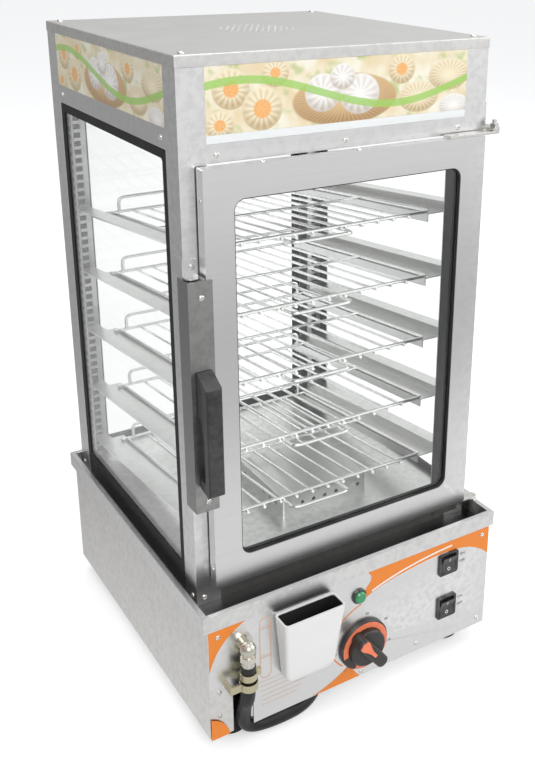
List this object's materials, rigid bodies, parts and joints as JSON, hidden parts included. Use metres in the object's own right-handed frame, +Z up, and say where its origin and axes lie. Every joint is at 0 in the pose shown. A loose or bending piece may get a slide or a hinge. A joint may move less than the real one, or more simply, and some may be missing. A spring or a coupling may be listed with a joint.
{
  "type": "steam food display case",
  "caption": "Tall glazed food steamer cabinet: water base with a thermostat and switches, tilted wire racks, framed glass door with a side handle, printed header under a vented roof.",
  "frame": {"origin": "middle of the base on the plane that the feet stand on", "axes": "+Z up, door and control panel face -Y, +X to the right seen from the front"},
  "size_m": [0.383, 0.4355, 0.732],
  "materials": {
    "steel": "brushed stainless steel sheet",
    "chrome": "bright chromed wire",
    "rubber": "matt black rubber",
    "glass": "clear toughened glass",
    "black_plastic": "black moulded plastic with a soft shine",
    "white_plastic": "white moulded plastic",
    "orange_plastic": "orange inlay on the knob",
    "printed_panel": "silver panel sheet printed with plain orange bands",
    "printed_sign": null,
    "light_diffuser": "pale translucent plastic",
    "green_lens": "green lamp lens",
    "inner_metal": "plated steel",
    "nickel": "nickel plated brass",
    "brass": "zinc and brass clamps"
  },
  "bodies": {
    "root": {"base_shell": "steel", "base_bottom_plate": "steel", "feet": "rubber", "rim_tray": "steel", "control_panel": "printed_panel", "switch_bezels": "black_plastic", "thermostat_body": "inner_metal", "lamp_body": "black_plastic", "lamp_lens": "green_lens", "fill_cup": "white_plastic", "fill_pipe": "rubber", "water_tank": "steel", "heating_element": "inner_metal", "drain_hose": "rubber", "hose_fitting": "nickel", "hose_clamps": "brass", "cord_gland": "rubber", "posts_front": "steel", "posts_rear": "steel", "bottom_frame": "steel", "top_frame": "steel", "roof_cap": "steel", "cross_rails": "steel", "sign_front": "printed_sign", "light_strip": "light_diffuser", "side_signs": "printed_sign", "rear_header": "steel", "chamber_ceiling": "steel", "header_lamp": "light_diffuser", "glass_left": "glass", "glass_right": "glass", "glass_rear": "glass", "glass_seals": "rubber", "chamber_floor": "steel", "steam_diffuser": "steel", "rack_uprights": "steel", "shelf_rails": "steel", "hinge_brackets": "inner_metal", "door_catch": "steel", "panel_screws": "nickel", "frame_screws": "nickel"},
    "door": {"door_frame": "steel", "door_glass": "glass", "door_glazing_seal": "rubber", "door_back_cover": "steel", "door_seal": "rubber", "hinge_arms": "inner_metal", "latch_bar": "steel", "door_handle": "black_plastic", "door_screws": "nickel"},
    "knob": {"knob_body": "black_plastic", "knob_inlay": "orange_plastic", "thermostat_shaft": "steel"},
    "rocker_upper": {"rocker_upper": "black_plastic"},
    "rocker_lower": {"rocker_lower": "black_plastic"},
    "rack_1": {"rack_1": "chrome"},
    "rack_2": {"rack_2": "chrome"},
    "rack_3": {"rack_3": "chrome"},
    "rack_4": {"rack_4": "chrome"},
    "rack_5": {"rack_5": "chrome"}
  },
  "joints": [
    {"name": "door_swing", "type": "hinge", "parent": "root", "child": "door", "pos_m": [0.1845, -0.167, 0.4], "axis": [0, 0, 1], "range_deg": [0, 115]},
    {"name": "knob_turn", "type": "hinge", "parent": "root", "child": "knob", "pos_m": [0.005, -0.2, 0.065], "axis": [0, 1, 0], "range_deg": [0, 270]},
    {"name": "rocker_upper_tilt", "type": "hinge", "parent": "root", "child": "rocker_upper", "pos_m": [0.1249, -0.199, 0.1285], "axis": [1, 0, 0], "range_deg": [-14, 0]},
    {"name": "rocker_lower_tilt", "type": "hinge", "parent": "root", "child": "rocker_lower", "pos_m": [0.1249, -0.199, 0.0675], "axis": [1, 0, 0], "range_deg": [-14, 0]},
    {"name": "rack_1_slide", "type": "slide", "parent": "root", "child": "rack_1", "axis": [0, 0.9936, -0.1132], "range_m": [-0.008, 0.03]},
    {"name": "rack_2_slide", "type": "slide", "parent": "root", "child": "rack_2", "axis": [0, 0.9936, -0.1132], "range_m": [-0.008, 0.03]},
    {"name": "rack_3_slide", "type": "slide", "parent": "root", "child": "rack_3", "axis": [0, 0.9936, -0.1132], "range_m": [-0.008, 0.03]},
    {"name": "rack_4_slide", "type": "slide", "parent": "root", "child": "rack_4", "axis": [0, 0.9936, -0.1132], "range_m": [-0.008, 0.03]},
    {"name": "rack_5_slide", "type": "slide", "parent": "root", "child": "rack_5", "axis": [0, 0.9936, -0.1132], "range_m": [-0.008, 0.03]}
  ]
}
